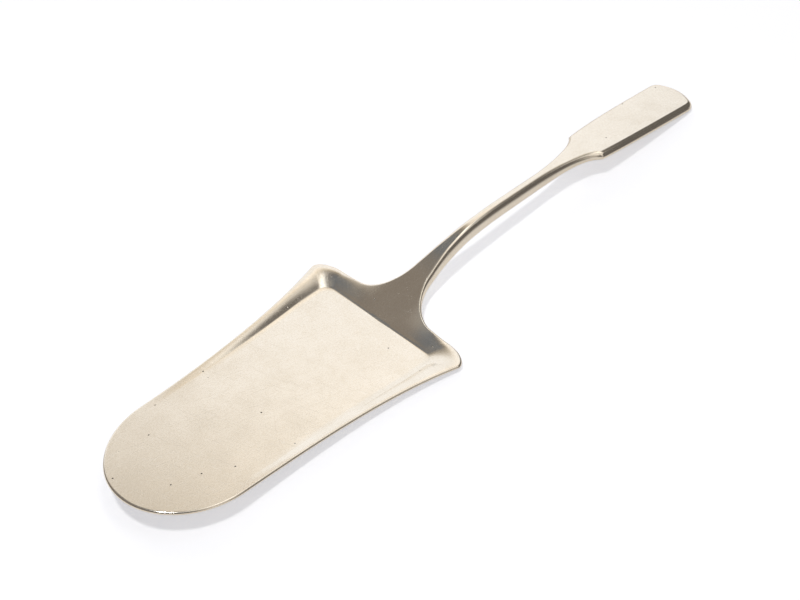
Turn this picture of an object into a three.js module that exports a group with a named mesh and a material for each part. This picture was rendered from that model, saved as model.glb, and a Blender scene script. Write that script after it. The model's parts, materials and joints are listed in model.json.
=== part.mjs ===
// A cake server forged in one piece: a shallow tray-shaped blade, a raised neck that runs
// without a joint into an arched stem, and a flat, wider paddle at the end of the handle.
// Millimetres. +X runs from the blade's tip to the handle's end, +Y across, +Z up, and the
// table is z = 0. The piece is drawn from the tip backwards with its blade level, then tipped
// back until it rests on the blade's heel and the handle's end, as it does on a table, and
// moved along until the origin lies below the middle of its length.
import * as THREE from 'three';

// Blade: lengths from the tip backwards, and half widths.
const BLADE_THICKNESS = 1.1;
const TIP_LENGTH = 26;
const TIP_HALF_WIDTH = 22;
const FLOOR_LENGTH = 98.3;
const BACK_WALL_LENGTH = 6.8;
const SHOULDER_SETBACK = 5.1;
const SHOULDER_HALF_WIDTH = 30.65;
const SHOULDER_CORNER = 8;

// Rim: its height above the floor, where it begins, and its width at both ends of the tray.
const RIM_HEIGHT = 1.6;
const RIM_START = 24;
const RIM_WIDTH_AT_TIP = 1.6;
const RIM_WIDTH_AT_BACK = 7.6;
const FLOOR_CORNER_RADIUS = 3.5;

// Handle: lengths of its stretches, one after the other, from the blade's rear edge.
const NECK_LENGTH = 12.9;
const NECK_TAPER_LENGTH = 27;
const STEM_LENGTH = 23;
const FLARE_LENGTH = 23.8;
const PADDLE_LENGTH = 49.2;

// Handle: half widths, and depths of the metal.
const NECK_ROOT_HALF_WIDTH = 14.5;
const NECK_HALF_WIDTH = 3.6;
const NECK_DEPTH = 5;
const STEM_HALF_WIDTH = 1.95;
const STEM_DEPTH = 4.3;
const CUSP_HALF_WIDTH = 7.1;
const PADDLE_HALF_WIDTH = 8.5;
const PADDLE_THICKNESS = 2.9;
const PADDLE_CORNER_LENGTH = 6;

// Heights of the handle's top over the underside of the level blade.
const REAR_EDGE_TOP = 4.4;
const NECK_TOP = 11;
const STEM_TOP = 17.6;
const CUSP_TOP = 17.8;
const HANDLE_END_TOP = 14.9;

// How square the rounded edges are: 2 is a circle, and more is squarer.
const EDGE_SQUARENESS = 2.2;

// Share of the metal's depth that lies above the outermost line of its rounded edge.
const ABOVE_EDGE_ON_BLADE = 0.6;
const ABOVE_EDGE_ON_HANDLE = 0.75;

// How far the rounded edges reach inwards. The stem is round all the way over.
const EDGE_REACH_ON_BLADE = 0.6;
const EDGE_REACH_AT_NECK = 1.3;
const EDGE_REACH_ON_PADDLE = 1.5;

// Stations along the length.
const REAR_EDGE_X = FLOOR_LENGTH + BACK_WALL_LENGTH;
const SHOULDER_X = REAR_EDGE_X - SHOULDER_SETBACK;
const NECK_X = REAR_EDGE_X + NECK_LENGTH;
const STEM_START_X = NECK_X + NECK_TAPER_LENGTH;
const STEM_END_X = STEM_START_X + STEM_LENGTH;
const CUSP_X = STEM_END_X + FLARE_LENGTH;
const HANDLE_END_X = CUSP_X + PADDLE_LENGTH;

const clamp01 = (value) => Math.min(1, Math.max(0, value));
const between = (from, to, share) => from + (to - from) * share;

function smooth(from, to, value) {
  const t = clamp01((value - from) / (to - from));
  return t * t * (3 - 2 * t);
}

// Height or depth along the length: a smooth curve without overshoot through the knots.
function profile(knots) {
  const last = knots.length - 1;
  const slopes = knots.slice(1).map(([x, z], i) => (z - knots[i][1]) / (x - knots[i][0]));
  const tangents = knots.map((_, i) => {
    if (i === 0) return slopes[0];
    if (i === last) return slopes[last - 1];
    const product = slopes[i - 1] * slopes[i];
    return product <= 0 ? 0 : (2 * product) / (slopes[i - 1] + slopes[i]);
  });
  return (x) => {
    if (x <= knots[0][0]) return knots[0][1];
    if (x >= knots[last][0]) return knots[last][1];
    const i = knots.findIndex((knot) => knot[0] > x) - 1;
    const width = knots[i + 1][0] - knots[i][0];
    const t = (x - knots[i][0]) / width;
    const rise = t * t * (3 - 2 * t);
    const leave = t * (1 - t) * (1 - t) * width * tangents[i];
    const arrive = t * t * (t - 1) * width * tangents[i + 1];
    return between(knots[i][1], knots[i + 1][1], rise) + leave + arrive;
  };
}

// Top of the metal along the centre line, with the blade level.
const centreTop = profile([
  [0, BLADE_THICKNESS],
  [FLOOR_LENGTH, BLADE_THICKNESS],
  [between(FLOOR_LENGTH, REAR_EDGE_X, 0.22), between(BLADE_THICKNESS, REAR_EDGE_TOP, 0.21)],
  [REAR_EDGE_X, REAR_EDGE_TOP],
  [NECK_X, NECK_TOP],
  [between(NECK_X, STEM_START_X, 0.3), between(NECK_TOP, STEM_TOP, 0.5)],
  [between(NECK_X, STEM_START_X, 0.7), between(NECK_TOP, STEM_TOP, 0.87)],
  [between(STEM_START_X, STEM_END_X, 0.2), STEM_TOP],
  [between(STEM_END_X, CUSP_X, 0.3), between(STEM_TOP, CUSP_TOP, 0.75)],
  [between(STEM_END_X, CUSP_X, 0.8), CUSP_TOP],
  [between(CUSP_X, HANDLE_END_X, 0.04), between(CUSP_TOP, HANDLE_END_TOP, 0.05)],
  [HANDLE_END_X, HANDLE_END_TOP],
]);

// Depth of the metal along the centre line.
const centreDepth = profile([
  [0, BLADE_THICKNESS],
  [FLOOR_LENGTH, BLADE_THICKNESS],
  [REAR_EDGE_X, between(BLADE_THICKNESS, NECK_DEPTH, 0.26)],
  [NECK_X, between(BLADE_THICKNESS, NECK_DEPTH, 0.87)],
  [between(NECK_X, STEM_START_X, 0.33), NECK_DEPTH],
  [STEM_END_X, STEM_DEPTH],
  [CUSP_X, PADDLE_THICKNESS],
  [HANDLE_END_X, PADDLE_THICKNESS],
]);

// Share of the depth above the edge's outermost line.
const aboveEdge = profile([
  [FLOOR_LENGTH, ABOVE_EDGE_ON_BLADE],
  [NECK_X, between(ABOVE_EDGE_ON_BLADE, ABOVE_EDGE_ON_HANDLE, 0.7)],
  [STEM_START_X, ABOVE_EDGE_ON_HANDLE],
  [HANDLE_END_X, ABOVE_EDGE_ON_HANDLE],
]);

// How far the rounded edge reaches inwards.
const edgeReach = profile([
  [FLOOR_LENGTH, EDGE_REACH_ON_BLADE],
  [NECK_X, EDGE_REACH_AT_NECK],
  [STEM_START_X, STEM_HALF_WIDTH],
  [STEM_END_X, STEM_HALF_WIDTH],
  [between(STEM_END_X, CUSP_X, 0.8), EDGE_REACH_ON_PADDLE],
  [HANDLE_END_X, EDGE_REACH_ON_PADDLE],
]);

// The half outline's corner points from the tip round to the handle's end. Between two of
// them runs a Bezier curve, whose two handles are shares of the way along X and along Y.
const TIP_END = [TIP_LENGTH, TIP_HALF_WIDTH];
const SHOULDER = [SHOULDER_X, SHOULDER_HALF_WIDTH];
const REAR_CORNER = [REAR_EDGE_X, SHOULDER_HALF_WIDTH - SHOULDER_CORNER];
const NECK_ROOT = [REAR_EDGE_X, NECK_ROOT_HALF_WIDTH];
const NECK = [NECK_X, NECK_HALF_WIDTH];
const STEM_START = [STEM_START_X, STEM_HALF_WIDTH];
const STEM_END = [STEM_END_X, STEM_HALF_WIDTH];
const CUSP = [CUSP_X, CUSP_HALF_WIDTH];
const PADDLE_CORNER = [HANDLE_END_X - PADDLE_CORNER_LENGTH, PADDLE_HALF_WIDTH];
const END_CORNER = [HANDLE_END_X - 0.24 * PADDLE_CORNER_LENGTH, PADDLE_HALF_WIDTH * 0.67];
const HANDLE_END = [HANDLE_END_X, 0];
const OUTLINE = [
  { name: 'flank', steps: 22, from: TIP_END, to: SHOULDER, handles: [[0.35, 0.07], [0.72, 0.28]] },
  { name: 'shoulder', steps: 10, from: SHOULDER, to: REAR_CORNER, handles: [[0.47, -0.05], [0.97, 0.43]] },
  { name: 'rear_edge', steps: 4, from: REAR_CORNER, to: NECK_ROOT, handles: [[0, 0.33], [1, 0.67]] },
  { name: 'neck_fillet', steps: 10, from: NECK_ROOT, to: NECK, handles: [[0.01, 0.38], [0.3, 0.91]] },
  { name: 'neck_taper', steps: 9, from: NECK, to: STEM_START, handles: [[0.22, 0.67], [0.52, 0.97]] },
  { name: 'stem', steps: 5, from: STEM_START, to: STEM_END, handles: [[0.35, 0], [0.65, 0]] },
  { name: 'flare', steps: 10, from: STEM_END, to: CUSP, handles: [[0.48, 0.04], [0.84, 0.3]] },
  { name: 'paddle_side', steps: 11, from: CUSP, to: PADDLE_CORNER, handles: [[0.14, 0.53], [0.43, 0.91]] },
  { name: 'end_corner', steps: 6, from: PADDLE_CORNER, to: END_CORNER, handles: [[0.64, 0], [0.81, 0.39]] },
  { name: 'end_arc', steps: 6, from: END_CORNER, to: HANDLE_END, handles: [[0.62, 0.3], [1, 0.63]] },
];
const TIP_STEPS = 15;
const TIP_CROWDING = 1.15;

function curvePoint({ from, to, handles }, t) {
  const u = 1 - t;
  return [0, 1].map((axis) => {
    const share = 3 * u * u * t * handles[0][axis] + 3 * u * t * t * handles[1][axis] + t * t * t;
    return between(from[axis], to[axis], share);
  });
}

// Points of the half outline, each tagged with the stretch of the outline it belongs to.
function outlinePoints(refine) {
  const points = [];
  const tipSteps = TIP_STEPS * refine;
  for (let i = 0; i < tipSteps; i += 1) {
    const angle = (Math.PI / 2) * (i / tipSteps) ** TIP_CROWDING;
    const x = TIP_LENGTH * (1 - Math.cos(angle));
    points.push({ name: 'tip', x, y: TIP_HALF_WIDTH * Math.sin(angle) });
  }
  OUTLINE.forEach((stretch) => {
    const steps = stretch.steps * refine;
    for (let i = 0; i < steps; i += 1) {
      const [x, y] = curvePoint(stretch, i / steps);
      points.push({ name: stretch.name, x, y });
    }
  });
  points.push({ name: 'end', x: HANDLE_END_X, y: 0 });
  return points;
}

const RIB_POINTS = outlinePoints(1);
const FINE_OUTLINE = outlinePoints(4);

// Distance from a point inside the outline to the outline.
function edgeDistance(x, y) {
  const across = Math.abs(y);
  let best = Infinity;
  for (let i = 0; i < FINE_OUTLINE.length - 1; i += 1) {
    const a = FINE_OUTLINE[i];
    const b = FINE_OUTLINE[i + 1];
    const dx = b.x - a.x;
    const dy = b.y - a.y;
    const t = clamp01(((x - a.x) * dx + (across - a.y) * dy) / (dx * dx + dy * dy));
    best = Math.min(best, Math.hypot(x - a.x - t * dx, across - a.y - t * dy));
  }
  return best;
}

// Half the width of the tray's flat floor: the outline less the rim, which widens backwards.
const rimWidth = profile([
  [0, RIM_WIDTH_AT_TIP],
  [FLOOR_LENGTH * 0.62, between(RIM_WIDTH_AT_TIP, RIM_WIDTH_AT_BACK, 0.28)],
  [FLOOR_LENGTH * 0.86, between(RIM_WIDTH_AT_TIP, RIM_WIDTH_AT_BACK, 0.54)],
  [FLOOR_LENGTH, RIM_WIDTH_AT_BACK],
]);
const floorHalfWidth = profile(
  RIB_POINTS.filter(({ x, name }) => x >= TIP_LENGTH && x <= SHOULDER_X && name === 'flank')
    .map(({ x, y }) => [x, y - rimWidth(x)]),
);

// Distance from the floor's border, outwards.
function floorDistance(x, y) {
  const alongX = x - (FLOOR_LENGTH - FLOOR_CORNER_RADIUS);
  const acrossY = Math.abs(y) - (floorHalfWidth(x) - FLOOR_CORNER_RADIUS);
  const outside = Math.hypot(Math.max(alongX, 0), Math.max(acrossY, 0));
  return Math.max(0, outside + Math.min(0, Math.max(alongX, acrossY)) - FLOOR_CORNER_RADIUS);
}

// The tray's wall climbs over this share of the rim's width, steepest at the fold, and the
// rest is a level lip. The share grows towards the neck, where no lip is left. The bow says
// how fast the wall levels out: 1 is a plane. The fold's softness is a length.
const WALL_SHARE = 0.78;
const WALL_SHARE_AT_NECK = 1.4;
const WALL_BOW = 1.8;
const FOLD_SOFTNESS = 0.3;

// The raised ridge of the neck fades into the shoulders over this share of their half width.
const RIDGE_HALF_WIDTH = NECK_HALF_WIDTH * 1.4;
const RIDGE_FADE = 0.74;

// Top of the metal, before the edges are rounded.
function topHeight(x, y, toEdge) {
  if (x >= NECK_X) return centreTop(x);
  const fade = smooth(RIDGE_HALF_WIDTH, SHOULDER_HALF_WIDTH * RIDGE_FADE, Math.abs(y));
  const fromFloor = floorDistance(x, y);
  const folded = (fromFloor * fromFloor) / (fromFloor + FOLD_SOFTNESS);
  const across = folded / Math.max(fromFloor + toEdge, Number.EPSILON);
  const level = 1 - clamp01(across / between(WALL_SHARE_AT_NECK, WALL_SHARE, fade));
  const rim = RIM_HEIGHT * smooth(RIM_START, REAR_EDGE_X, x);
  const tray = BLADE_THICKNESS + rim * (1 - level ** WALL_BOW);
  return x < FLOOR_LENGTH ? tray : between(centreTop(x), tray, fade);
}

// Depth of the metal, before the edges are rounded: the neck's root thins out sideways.
function depth(x, y) {
  if (x >= NECK_X) return centreDepth(x);
  return between(centreDepth(x), BLADE_THICKNESS, smooth(NECK_HALF_WIDTH, NECK_ROOT_HALF_WIDTH, Math.abs(y)));
}

// Share of the full depth that is left at a distance from the edge.
function roundness(distance, radius) {
  const inward = clamp01(distance / radius);
  return (1 - (1 - inward) ** EDGE_SQUARENESS) ** (1 / EDGE_SQUARENESS);
}

// Top and underside at a point of a rib that is halfWidth wide.
function surface(x, y, halfWidth) {
  const toEdge = edgeDistance(x, y);
  const above = depth(x, y) * aboveEdge(x);
  const below = depth(x, y) - above;
  const middle = topHeight(x, y, toEdge) - above;
  const left = roundness(toEdge, Math.min(edgeReach(x), halfWidth));
  return { top: middle + above * left, bottom: middle - below * left };
}

// Outermost line of the edge at a point of the outline.
const edgeLine = (x, y) => [x, y, topHeight(x, y, 0) - depth(x, y) * aboveEdge(x)];

// The mesh is drawn over ribs from the centre line to the outline. Each has a flat part, which
// ends at the floor's border, and an outer part, a curve that bends towards a third point.
// The fan is the ribs behind this length of the floor: they run over the floor's rounded
// corner, then along its back edge until the given share of the fillet, and then up the neck.
const FAN_LENGTH = 20;
const FAN_SPLIT = 0.4;

// How far the bend lies from the outline, as a share of the outer part.
const STRAIGHT_REACH = 0.5;
const BENT_REACH = 0.35;

// Greatest shares that a rounded edge and a flat part take of a rib, and the least cosine
// between a rib and the outline's normal.
const WIDEST_EDGE_ON_BLADE = 0.45;
const WIDEST_EDGE_ON_HANDLE = 0.97;
const WIDEST_EDGE_ON_FAN = 0.8;
const WIDEST_FLAT = 0.9;
const STEEPEST_RIB = 0.2;

const mix = (from, to, share) => [0, 1].map((axis) => between(from[axis], to[axis], share));
const dot = (a, b) => a[0] * b[0] + a[1] * b[1];

function unit([x, y]) {
  const length = Math.hypot(x, y);
  return [x / length, y / length];
}

function outlineNormal(i) {
  const before = RIB_POINTS[i - 1];
  const after = RIB_POINTS[i + 1];
  return unit([before.y - after.y, after.x - before.x]);
}

// Width of the rounded edge along a rib that runs straight across.
function straightEdge({ x, y }, normal) {
  const widest = x < NECK_X ? WIDEST_EDGE_ON_BLADE : WIDEST_EDGE_ON_HANDLE;
  return Math.min(edgeReach(x) / Math.max(normal[1], STEEPEST_RIB), widest * y);
}

function flatHalfWidth(point, normal) {
  const flat = (point.y - straightEdge(point, normal)) * WIDEST_FLAT;
  return Math.min(flat, floorHalfWidth(point.x));
}

function ribs() {
  const startOf = (name) => RIB_POINTS.findIndex((point) => point.name === name);
  const firstBehind = (x) => RIB_POINTS.findIndex((point) => point.x >= x);
  const first = firstBehind(FLOOR_LENGTH - FAN_LENGTH);
  const corner = firstBehind(FLOOR_LENGTH - FLOOR_CORNER_RADIUS);
  const rear = startOf('rear_edge');
  const neck = startOf('neck_taper');
  const split = Math.floor(between(startOf('neck_fillet'), neck, FAN_SPLIT));
  const cornerY = floorHalfWidth(FLOOR_LENGTH) - FLOOR_CORNER_RADIUS;
  const neckY = flatHalfWidth(RIB_POINTS[neck], outlineNormal(neck));
  const centreX = profile([[first, RIB_POINTS[first].x], [split, FLOOR_LENGTH], [neck, NECK_X]]);
  const turn = profile([[corner, 0], [rear, Math.PI / 2]]);
  const backX = profile([[split, FLOOR_LENGTH], [neck, NECK_X]]);
  const backY = profile([[rear, cornerY], [split, NECK_HALF_WIDTH], [neck, neckY]]);
  const bent = profile([[first, 0], [corner, 1], [split, 1], [neck, 0]]);

  const borderPoint = (i, normal) => {
    if (i < corner || i >= neck) return [RIB_POINTS[i].x, flatHalfWidth(RIB_POINTS[i], normal)];
    if (i >= rear) return [backX(i), backY(i)];
    const x = FLOOR_LENGTH - FLOOR_CORNER_RADIUS * (1 - Math.sin(turn(i)));
    return [x, floorHalfWidth(x) - FLOOR_CORNER_RADIUS * (1 - Math.cos(turn(i)))];
  };

  return RIB_POINTS.slice(1, -1).map((point, before) => {
    const i = before + 1;
    const fanned = i >= first && i < neck;
    const outline = [point.x, point.y];
    const normal = outlineNormal(i);
    const border = borderPoint(i, normal);
    const chord = [outline[0] - border[0], outline[1] - border[1]];
    const length = Math.hypot(...chord);
    const heading = unit(mix(unit(chord), normal, bent(i)));
    const reach = length * between(STRAIGHT_REACH, BENT_REACH, bent(i));
    return {
      centre: [fanned ? centreX(i) : point.x, 0],
      border,
      bend: [outline[0] - heading[0] * reach, outline[1] - heading[1] * reach],
      outline,
      normalReach: 2 * reach * dot(heading, normal),
      widestEdge: fanned ? WIDEST_EDGE_ON_FAN : straightEdge(point, normal) / length,
    };
  });
}

// Steps over the flat part, up the wall and round the edge.
const STEPS_OVER = { floor: 4, wall: 6, edge: 4 };
const STEPS_UNDER = { floor: 3, wall: 3, edge: 3 };

// Points of a rib from the centre line outwards, without its point on the outline.
function ribPoints(rib, steps) {
  const edge = Math.min(edgeReach(rib.outline[0]) / rib.normalReach, rib.widestEdge);
  const outer = (t) => mix(mix(rib.border, rib.bend, t), mix(rib.bend, rib.outline, t), t);
  const points = [];
  for (let i = 0; i < steps.floor; i += 1) points.push(mix(rib.centre, rib.border, i / steps.floor));
  for (let i = 0; i < steps.wall; i += 1) points.push(outer(((1 - edge) * i) / steps.wall));
  for (let i = 0; i < steps.edge; i += 1) {
    points.push(outer(1 - edge * (1 - Math.sin((Math.PI / 2) * (i / steps.edge)))));
  }
  return points;
}

// One closed loop of points round a rib: over the top from +Y to -Y, then back underneath.
function loop(rib) {
  const [edgeX, edgeY] = rib.outline;
  const over = ribPoints(rib, STEPS_OVER);
  const under = ribPoints(rib, STEPS_UNDER);
  const point = ([x, y], side, face) => [x, y * side, surface(x, y, edgeY)[face]];
  return [
    edgeLine(edgeX, edgeY),
    ...over.slice(1).reverse().map((at) => point(at, 1, 'top')),
    ...over.map((at) => point(at, -1, 'top')),
    edgeLine(edgeX, -edgeY),
    ...under.slice(1).reverse().map((at) => point(at, -1, 'bottom')),
    ...under.map((at) => point(at, 1, 'bottom')),
  ];
}

// Limits of the search for the resting pose, in radians.
const STEEPEST_TILT = 0.5;
const TILT_TOLERANCE = 1e-7;

// Height of the lowest point between two stations once the piece is turned by the tilt.
function lowestPoint(positions, from, to, tilt) {
  let lowest = Infinity;
  for (let i = 0; i < positions.length; i += 3) {
    if (positions[i] >= from && positions[i] <= to) {
      const along = positions[i] - FLOOR_LENGTH;
      lowest = Math.min(lowest, positions[i + 2] * Math.cos(tilt) - along * Math.sin(tilt));
    }
  }
  return lowest;
}

// Turns the level piece about its heel until heel and handle's end rest on the table alike.
function settle(positions) {
  let shallow = -STEEPEST_TILT;
  let steep = STEEPEST_TILT;
  while (steep - shallow > TILT_TOLERANCE) {
    const middle = (shallow + steep) / 2;
    const heel = lowestPoint(positions, 0, REAR_EDGE_X, middle);
    const handle = lowestPoint(positions, CUSP_X, HANDLE_END_X, middle);
    if (handle > heel) shallow = middle;
    else steep = middle;
  }
  const lift = -lowestPoint(positions, 0, HANDLE_END_X, steep);
  const cos = Math.cos(steep);
  const sin = Math.sin(steep);
  for (let i = 0; i < positions.length; i += 3) {
    const x = positions[i] - FLOOR_LENGTH;
    const z = positions[i + 2];
    positions[i] = FLOOR_LENGTH + x * cos + z * sin;
    positions[i + 2] = z * cos - x * sin + lift;
  }
}

function serverGeometry() {
  const loops = ribs().map(loop);
  const around = loops[0].length;
  const positions = [...edgeLine(0, 0)];
  loops.forEach((points) => points.forEach((p) => positions.push(...p)));
  positions.push(...edgeLine(HANDLE_END_X, 0));
  const last = positions.length / 3 - 1;
  const indices = [];
  for (let j = 0; j < around; j += 1) {
    const k = (j + 1) % around;
    indices.push(0, 1 + k, 1 + j);
    for (let i = 0; i < loops.length - 1; i += 1) {
      const a = 1 + i * around;
      const b = a + around;
      indices.push(a + j, b + k, b + j, a + j, a + k, b + k);
    }
    const end = 1 + (loops.length - 1) * around;
    indices.push(end + j, end + k, last);
  }
  settle(positions);
  const geometry = new THREE.BufferGeometry();
  geometry.setAttribute('position', new THREE.Float32BufferAttribute(positions, 3));
  geometry.setIndex(indices);
  geometry.computeBoundingBox();
  const { min, max } = geometry.boundingBox;
  geometry.translate(-(min.x + max.x) / 2, 0, 0);
  geometry.computeVertexNormals();
  return geometry;
}

const metal = new THREE.MeshStandardMaterial({
  color: 0xd8d2c6,
  metalness: 1,
  roughness: 0.25,
});

const server = new THREE.Mesh(serverGeometry(), metal);
server.name = 'server_body';

const part = new THREE.Group();
part.name = 'cake_server';
part.add(server);

export default part;
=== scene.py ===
"""A polished cake server, forged in one piece, lying on a pale table.

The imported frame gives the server's place and resting pose. This script works out the fine
surface of the same form, dresses it as polished metal with the marks of use, and lights it
in a plain soft studio. Sizes of the server are in millimetres, scene objects in metres.
"""
import json
import logging
import math
from dataclasses import dataclass
from enum import Enum
from typing import Sequence

import bpy
import numpy as np
from mathutils import Matrix, Vector


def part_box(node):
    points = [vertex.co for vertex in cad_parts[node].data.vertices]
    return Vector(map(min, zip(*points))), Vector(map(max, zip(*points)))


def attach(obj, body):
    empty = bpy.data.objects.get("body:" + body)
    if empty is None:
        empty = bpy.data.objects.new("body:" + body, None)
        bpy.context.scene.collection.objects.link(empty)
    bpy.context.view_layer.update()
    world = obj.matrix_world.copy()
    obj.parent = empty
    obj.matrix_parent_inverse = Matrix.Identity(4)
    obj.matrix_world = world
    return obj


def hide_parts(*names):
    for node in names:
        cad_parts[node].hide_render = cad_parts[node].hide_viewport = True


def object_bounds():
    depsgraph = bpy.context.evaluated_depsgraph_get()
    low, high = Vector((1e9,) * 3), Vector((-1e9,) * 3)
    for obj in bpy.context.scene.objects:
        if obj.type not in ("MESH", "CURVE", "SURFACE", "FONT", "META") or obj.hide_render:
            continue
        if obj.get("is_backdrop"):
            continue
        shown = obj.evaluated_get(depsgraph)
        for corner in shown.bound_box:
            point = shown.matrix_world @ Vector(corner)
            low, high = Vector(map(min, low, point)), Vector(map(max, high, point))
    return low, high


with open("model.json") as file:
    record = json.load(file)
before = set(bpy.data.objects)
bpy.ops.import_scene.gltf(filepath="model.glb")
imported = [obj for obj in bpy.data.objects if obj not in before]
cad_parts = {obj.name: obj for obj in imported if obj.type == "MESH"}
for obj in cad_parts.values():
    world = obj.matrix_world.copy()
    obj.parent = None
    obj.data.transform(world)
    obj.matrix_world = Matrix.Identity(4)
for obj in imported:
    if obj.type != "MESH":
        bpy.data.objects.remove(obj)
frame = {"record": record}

LOG = logging.getLogger("cake_server")
MM = 0.001
BODY_NODE = "server_body"
TINY = 1e-12

Point = tuple[float, float]
Colour = tuple[float, float, float]
Number = float | np.ndarray


def between(start: Number, end: Number, share: Number) -> Number:
    """Returns the value that lies a share of the way from start to end."""
    return start + (end - start) * share


def smooth(start: float, end: float, value: Number) -> Number:
    """Eases from 0 at start to 1 at end.

    Args:
        start: Value at which the result leaves 0.
        end: Value at which the result reaches 1.
        value: Values to ease.

    Returns:
        t * t * (3 - 2 * t), where t is the share of the way, kept within 0 and 1.
    """
    t = np.clip((value - start) / (end - start), 0.0, 1.0)
    return t * t * (3.0 - 2.0 * t)


class Profile:
    """A height, depth or width along the length: a smooth curve through its knots."""

    def __init__(self, knots: Sequence[Point]) -> None:
        """Works out the slope at each knot.

        Args:
            knots: Station and value of each knot, in the order of their stations.
        """
        self.x, self.z = np.array(knots, dtype=float).T
        slopes = np.diff(self.z) / np.diff(self.x)
        product = slopes[:-1] * slopes[1:]
        total = slopes[:-1] + slopes[1:]
        inner = np.where(product > 0, 2 * product / np.where(total == 0, 1, total), 0.0)
        self.tangents = np.concatenate([slopes[:1], inner, slopes[-1:]])

    def __call__(self, x: np.ndarray) -> np.ndarray:
        """Returns the value at each station.

        Each span is a cubic that keeps the knots' values and slopes. A slope is the
        harmonic mean of its neighbours', or 0 at a turning point, so nothing overshoots.
        """
        x = np.clip(x, self.x[0], self.x[-1])
        i = np.clip(np.searchsorted(self.x, x, side="right") - 1, 0, len(self.x) - 2)
        width = self.x[i + 1] - self.x[i]
        t = (x - self.x[i]) / width
        rise = t * t * (3 - 2 * t)
        leave = t * (1 - t) ** 2 * width * self.tangents[i]
        arrive = t * t * (t - 1) * width * self.tangents[i + 1]
        return between(self.z[i], self.z[i + 1], rise) + leave + arrive


@dataclass
class BladeSizes:
    """The tray-shaped blade: lengths run backwards from the tip."""

    thickness: float = 1.1
    tip_length: float = 26.0
    tip_half_width: float = 22.0
    floor_length: float = 98.3
    floor_corner_radius: float = 3.5
    back_wall_length: float = 6.8
    shoulder_setback: float = 5.1
    shoulder_half_width: float = 30.65
    shoulder_corner: float = 8.0
    rim_height: float = 1.6
    rim_start: float = 24.0
    rim_width_at_tip: float = 1.6
    rim_width_at_back: float = 7.6
    above_edge: float = 0.6
    edge_reach: float = 0.6
    squareness: float = 2.2


@dataclass
class HandleSizes:
    """The handle: stretches one after the other from the rear edge, and their sections."""

    neck_length: float = 12.9
    neck_taper_length: float = 27.0
    stem_length: float = 23.0
    flare_length: float = 23.8
    paddle_length: float = 49.2
    neck_root_half_width: float = 14.5
    neck_half_width: float = 3.6
    neck_depth: float = 5.0
    stem_half_width: float = 1.95
    stem_depth: float = 4.3
    cusp_half_width: float = 7.1
    paddle_half_width: float = 8.5
    paddle_thickness: float = 2.9
    paddle_corner_length: float = 6.0
    rear_edge_top: float = 4.4
    neck_top: float = 11.0
    stem_top: float = 17.6
    cusp_top: float = 17.8
    end_top: float = 14.9
    above_edge: float = 0.80
    above_edge_on_paddle: float = 0.55
    edge_reach_at_neck: float = 1.3
    edge_reach_on_paddle: float = 1.6
    stem_squareness: float = 3.1
    paddle_squareness: float = 1.6
    squareness_below: float = 3.0


@dataclass(frozen=True)
class Stretch:
    """One Bezier stretch of the half outline.

    The two handles are shares of the way along X and along Y from start to end.
    """

    start: Point
    end: Point
    handles: tuple[Point, Point]
    steps: int

    def points(self, refine: int) -> np.ndarray:
        """Returns the stretch's points without its last: a cubic Bezier in each axis."""
        count = self.steps * refine
        t = np.arange(count)[:, None] / count
        first, second = np.array(self.handles)
        share = 3 * (1 - t) ** 2 * t * first + 3 * (1 - t) * t * t * second + t**3
        return between(np.array(self.start), np.array(self.end), share)


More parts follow.
